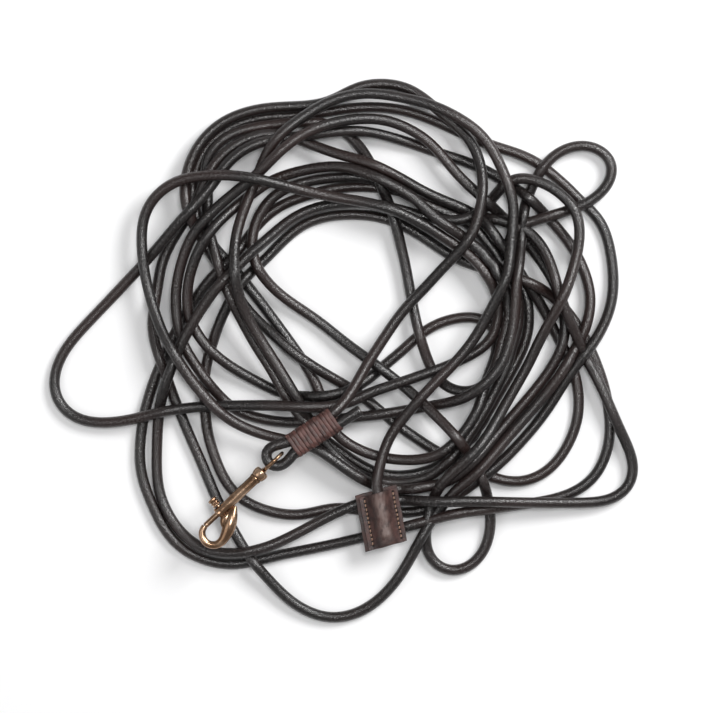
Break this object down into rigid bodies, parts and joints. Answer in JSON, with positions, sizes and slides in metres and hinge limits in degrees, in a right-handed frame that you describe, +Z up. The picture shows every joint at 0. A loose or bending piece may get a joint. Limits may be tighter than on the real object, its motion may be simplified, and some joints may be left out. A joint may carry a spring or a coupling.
{
  "type": "training leash",
  "caption": "Long round leather training leash lying in a loose coil, with a swivelling bolt snap at one end and a stitched leather tab at the other.",
  "frame": {"origin": "middle of the coil's outline, on the floor that the cord lies on", "axes": "+Z up off the floor; +X to the right and +Y away as the coil is looked down on with the snap at the lower left"},
  "size_m": [0.4125, 0.3811, 0.0438],
  "materials": {
    "cord_leather": "smooth satin, fine grain",
    "thong_leather": "satin",
    "tab_leather": "pebbled satin",
    "thread": "waxed thread",
    "snap_bronze": "antique bronze plating, worn bright on edges",
    "bolt_steel": "satin"
  },
  "bodies": {
    "cord": {"leather_cord": "cord_leather", "whipping_thong": "thong_leather", "tab_front": "tab_leather", "tab_back": "tab_leather", "stitches_left": "thread", "stitches_right": "thread"},
    "swivel": {"swivel_eye": "snap_bronze"},
    "snap": {"snap_body": "snap_bronze", "bolt_spring": "bolt_steel"},
    "bolt": {"snap_bolt": "bolt_steel", "thumb_stud": "snap_bronze"}
  },
  "joints": [
    {"name": "eye_tilt", "type": "hinge", "parent": "cord", "child": "swivel", "pos_m": [-0.05024, -0.07829, 0.036], "axis": [-0.6858, 0.7278, 0], "range_deg": [0, 45]},
    {"name": "snap_swivel", "type": "hinge", "parent": "swivel", "child": "snap", "pos_m": [-0.05883, -0.08638, 0.036], "axis": [-0.7278, -0.6858, 0], "continuous": true},
    {"name": "bolt_slide", "type": "slide", "parent": "snap", "child": "bolt", "axis": [0.7278, 0.6858, 0], "range_m": [0, 0.009], "stiffness_N_per_m": 400, "springref_m": -0.004, "deforming": ["bolt_spring"]}
  ]
}
